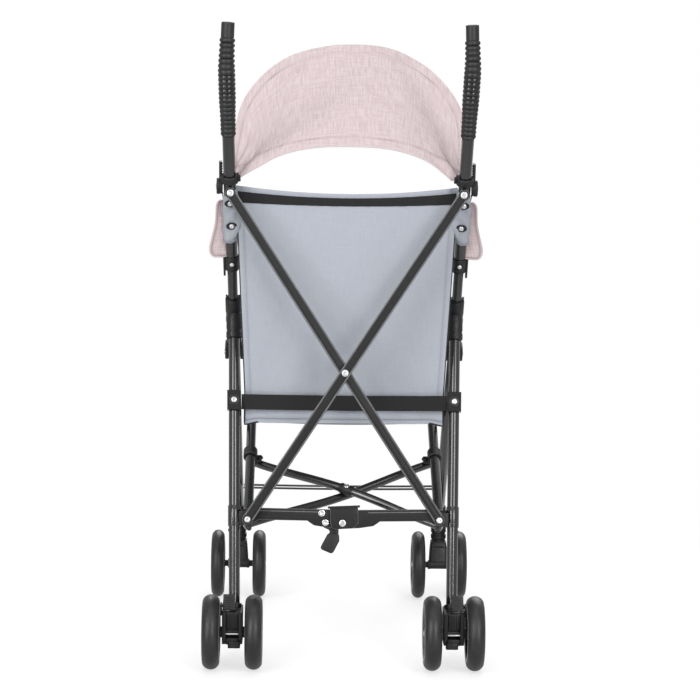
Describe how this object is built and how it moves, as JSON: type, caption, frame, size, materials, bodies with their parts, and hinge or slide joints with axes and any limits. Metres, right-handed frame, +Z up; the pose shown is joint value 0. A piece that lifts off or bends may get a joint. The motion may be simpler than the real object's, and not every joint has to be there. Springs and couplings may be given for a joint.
{
  "type": "folding umbrella stroller",
  "caption": "Lightweight folding pushchair with a fabric sling seat, a rear X brace with a lock, double wheels, swivel casters, foot brakes and a folding canopy",
  "frame": {"origin": "on the floor, under the middle of the wheelbase and of the track", "axes": "+X right as seen from behind, +Y forward in the walking direction, +Z up"},
  "size_m": [0.4578, 0.61, 1.0267],
  "materials": {
    "tube_black": "gloss black paint",
    "bar_grey": "satin dark grey paint",
    "plastic_black": "moulded black plastic",
    "grip_rubber": "soft ribbed grip",
    "tyre_black": "foamed tyre",
    "seat_grey": "woven cloth",
    "canopy_pink": "woven cloth",
    "webbing_black": "woven webbing"
  },
  "bodies": {
    "left_frame": {"left_rear_leg": "tube_black", "left_push_tube": "tube_black", "left_grip": "grip_rubber", "left_apex_bracket": "plastic_black", "left_leg_hinge": "plastic_black", "left_strap_cap": "plastic_black", "left_canopy_clamp": "plastic_black", "left_axle_housing": "plastic_black", "seat_sling": "seat_grey", "lower_webbing": "webbing_black", "harness": "webbing_black", "canopy_cover": "canopy_pink", "canopy_middle_bow": "plastic_black"},
    "right_frame": {"right_rear_leg": "tube_black", "right_push_tube": "tube_black", "right_grip": "grip_rubber", "right_apex_bracket": "plastic_black", "right_leg_hinge": "plastic_black", "right_strap_cap": "plastic_black", "right_canopy_clamp": "plastic_black", "right_axle_housing": "plastic_black"},
    "release_pedal": {"release_pedal": "plastic_black"},
    "canopy_bow": {"canopy_front_bow": "plastic_black"},
    "left_runner": {"left_runner": "plastic_black"},
    "left_link": {"left_lock_link": "bar_grey"},
    "left_rail": {"left_seat_rail": "tube_black"},
    "left_rail_slider": {"left_rail_runner": "plastic_black"},
    "left_cross": {"left_cross_tube": "tube_black"},
    "left_bar": {"left_cross_bar": "bar_grey"},
    "left_front_leg": {"left_front_leg": "tube_black", "left_caster_socket": "plastic_black", "footrest_strap": "webbing_black"},
    "left_swivel": {"left_caster_fork": "plastic_black"},
    "left_brake": {"left_brake_pedal": "plastic_black"},
    "left_rear_outer_wheel": {"left_rear_outer_tyre": "tyre_black", "left_rear_outer_rim": "plastic_black"},
    "left_rear_inner_wheel": {"left_rear_inner_tyre": "tyre_black", "left_rear_inner_rim": "plastic_black"},
    "left_front_outer_wheel": {"left_front_outer_tyre": "tyre_black", "left_front_outer_rim": "plastic_black"},
    "left_front_inner_wheel": {"left_front_inner_tyre": "tyre_black", "left_front_inner_rim": "plastic_black"},
    "right_runner": {"right_runner": "plastic_black"},
    "right_link": {"right_lock_link": "bar_grey"},
    "right_rail": {"right_seat_rail": "tube_black"},
    "right_rail_slider": {"right_rail_runner": "plastic_black"},
    "right_cross": {"right_cross_tube": "tube_black"},
    "right_bar": {"right_cross_bar": "bar_grey"},
    "right_front_leg": {"right_front_leg": "tube_black", "right_caster_socket": "plastic_black"},
    "right_swivel": {"right_caster_fork": "plastic_black"},
    "right_brake": {"right_brake_pedal": "plastic_black"},
    "right_rear_outer_wheel": {"right_rear_outer_tyre": "tyre_black", "right_rear_outer_rim": "plastic_black"},
    "right_rear_inner_wheel": {"right_rear_inner_tyre": "tyre_black", "right_rear_inner_rim": "plastic_black"},
    "right_front_outer_wheel": {"right_front_outer_tyre": "tyre_black", "right_front_outer_rim": "plastic_black"},
    "right_front_inner_wheel": {"right_front_inner_tyre": "tyre_black", "right_front_inner_rim": "plastic_black"}
  },
  "joints": [
    {"name": "umbrella_fold", "type": "slide", "parent": "left_frame", "child": "right_frame", "axis": [-1, 0, 0], "range_m": [0, 0.24], "deforming": ["seat_sling", "lower_webbing", "footrest_strap", "harness", "canopy_cover", "canopy_middle_bow", "canopy_front_bow"]},
    {"name": "left_runner_slide", "type": "slide", "parent": "left_frame", "child": "left_runner", "axis": [0.0149, -0.3369, -0.9414], "range_m": [0, 0.09695]},
    {"name": "left_bar_pivot", "type": "hinge", "parent": "left_frame", "child": "left_bar", "pos_m": [-0.1865, -0.173, 0.759], "axis": [0.0949, -0.9901, 0.1032], "range_deg": [-23.97, 0]},
    {"name": "left_link_pivot", "type": "hinge", "parent": "left_runner", "child": "left_link", "pos_m": [-0.155, -0.195, 0.234], "axis": [0, -0.9945, 0.1045], "range_deg": [0, 79.59]},
    {"name": "left_front_leg_pivot", "type": "hinge", "parent": "left_frame", "child": "left_front_leg", "pos_m": [-0.1825, -0.02132, 0.48244], "axis": [1, 0, 0], "range_deg": [-26.23, 0]},
    {"name": "left_rail_pivot", "type": "hinge", "parent": "left_runner", "child": "left_rail", "pos_m": [-0.155, -0.162, 0.235], "axis": [1, 0, 0], "range_deg": [0, 14.04]},
    {"name": "left_cross_pivot", "type": "hinge", "parent": "left_rail", "child": "left_cross", "pos_m": [-0.155, -0.15363, 0.21728], "axis": [0, -0.427, 0.9043], "range_deg": [0, 50.85]},
    {"name": "left_rail_runner_slide", "type": "slide", "parent": "left_rail", "child": "left_rail_slider", "axis": [0, 0.9043, 0.427], "range_m": [0, 0.16923]},
    {"name": "left_brake_pivot", "type": "hinge", "parent": "left_frame", "child": "left_brake", "pos_m": [-0.179, -0.247, 0.1035], "axis": [1, 0, 0], "range_deg": [0, 30]},
    {"name": "left_caster_swivel", "type": "hinge", "parent": "left_front_leg", "child": "left_swivel", "pos_m": [-0.18, 0.265, 0.1037], "axis": [0, 0, 1], "continuous": true},
    {"name": "left_rear_outer_spin", "type": "hinge", "parent": "left_frame", "child": "left_rear_outer_wheel", "pos_m": [-0.21175, -0.245, 0.06], "axis": [1, 0, 0], "continuous": true},
    {"name": "left_front_outer_spin", "type": "hinge", "parent": "left_swivel", "child": "left_front_outer_wheel", "pos_m": [-0.217, 0.245, 0.06], "axis": [1, 0, 0], "continuous": true},
    {"name": "left_rear_inner_spin", "type": "hinge", "parent": "left_frame", "child": "left_rear_inner_wheel", "pos_m": [-0.14325, -0.245, 0.06], "axis": [1, 0, 0], "continuous": true},
    {"name": "left_front_inner_spin", "type": "hinge", "parent": "left_swivel", "child": "left_front_inner_wheel", "pos_m": [-0.143, 0.245, 0.06], "axis": [1, 0, 0], "continuous": true},
    {"name": "right_runner_slide", "type": "slide", "parent": "right_frame", "child": "right_runner", "axis": [-0.0149, -0.3369, -0.9414], "range_m": [0, 0.09695]},
    {"name": "right_bar_pivot", "type": "hinge", "parent": "right_frame", "child": "right_bar", "pos_m": [0.1865, -0.173, 0.759], "axis": [-0.0949, -0.9901, 0.1032], "range_deg": [0, 23.97]},
    {"name": "right_link_pivot", "type": "hinge", "parent": "right_runner", "child": "right_link", "pos_m": [0.155, -0.195, 0.234], "axis": [0, -0.9945, 0.1045], "range_deg": [-79.59, 0]},
    {"name": "right_front_leg_pivot", "type": "hinge", "parent": "right_frame", "child": "right_front_leg", "pos_m": [0.1825, -0.02132, 0.48244], "axis": [1, 0, 0], "range_deg": [-26.23, 0]},
    {"name": "right_rail_pivot", "type": "hinge", "parent": "right_runner", "child": "right_rail", "pos_m": [0.155, -0.162, 0.235], "axis": [1, 0, 0], "range_deg": [0, 14.04]},
    {"name": "right_cross_pivot", "type": "hinge", "parent": "right_rail", "child": "right_cross", "pos_m": [0.155, -0.15363, 0.21728], "axis": [0, -0.427, 0.9043], "range_deg": [-50.85, 0]},
    {"name": "right_rail_runner_slide", "type": "slide", "parent": "right_rail", "child": "right_rail_slider", "axis": [0, 0.9043, 0.427], "range_m": [0, 0.16923]},
    {"name": "right_brake_pivot", "type": "hinge", "parent": "right_frame", "child": "right_brake", "pos_m": [0.179, -0.247, 0.1035], "axis": [1, 0, 0], "range_deg": [0, 30]},
    {"name": "right_caster_swivel", "type": "hinge", "parent": "right_front_leg", "child": "right_swivel", "pos_m": [0.18, 0.265, 0.1037], "axis": [0, 0, 1], "continuous": true},
    {"name": "right_rear_outer_spin", "type": "hinge", "parent": "right_frame", "child": "right_rear_outer_wheel", "pos_m": [0.21175, -0.245, 0.06], "axis": [1, 0, 0], "continuous": true},
    {"name": "right_front_outer_spin", "type": "hinge", "parent": "right_swivel", "child": "right_front_outer_wheel", "pos_m": [0.217, 0.245, 0.06], "axis": [1, 0, 0], "continuous": true},
    {"name": "right_rear_inner_spin", "type": "hinge", "parent": "right_frame", "child": "right_rear_inner_wheel", "pos_m": [0.14325, -0.245, 0.06], "axis": [1, 0, 0], "continuous": true},
    {"name": "right_front_inner_spin", "type": "hinge", "parent": "right_swivel", "child": "right_front_inner_wheel", "pos_m": [0.143, 0.245, 0.06], "axis": [1, 0, 0], "continuous": true},
    {"name": "release_pedal_pivot", "type": "hinge", "parent": "left_link", "child": "release_pedal", "pos_m": [-0.02747, -0.1956, 0.22827], "axis": [0, -0.9945, 0.1045], "range_deg": [0, 20]},
    {"name": "canopy_front_fold", "type": "hinge", "parent": "left_frame", "child": "canopy_bow", "pos_m": [0, -0.147, 0.768], "axis": [1, 0, 0], "range_deg": [0, 26], "deforming": ["canopy_cover"]}
  ],
  "couplings": [
    {"joint": "left_runner_slide", "follows": "umbrella_fold", "ratio": 0.40376},
    {"joint": "left_bar_pivot", "follows": "umbrella_fold", "rad_per_m": -1.7424},
    {"joint": "left_link_pivot", "follows": "umbrella_fold", "rad_per_m": 5.785},
    {"joint": "left_front_leg_pivot", "follows": "umbrella_fold", "rad_per_m": -1.9069},
    {"joint": "left_rail_pivot", "follows": "umbrella_fold", "rad_per_m": 1.0202},
    {"joint": "left_cross_pivot", "follows": "umbrella_fold", "rad_per_m": 3.6962},
    {"joint": "left_rail_runner_slide", "follows": "umbrella_fold", "ratio": 0.70475},
    {"joint": "right_runner_slide", "follows": "umbrella_fold", "ratio": 0.40376},
    {"joint": "right_bar_pivot", "follows": "umbrella_fold", "rad_per_m": 1.7424},
    {"joint": "right_link_pivot", "follows": "umbrella_fold", "rad_per_m": -5.785},
    {"joint": "right_front_leg_pivot", "follows": "umbrella_fold", "rad_per_m": -1.9069},
    {"joint": "right_rail_pivot", "follows": "umbrella_fold", "rad_per_m": 1.0202},
    {"joint": "right_cross_pivot", "follows": "umbrella_fold", "rad_per_m": -3.6962},
    {"joint": "right_rail_runner_slide", "follows": "umbrella_fold", "ratio": 0.70475}
  ]
}
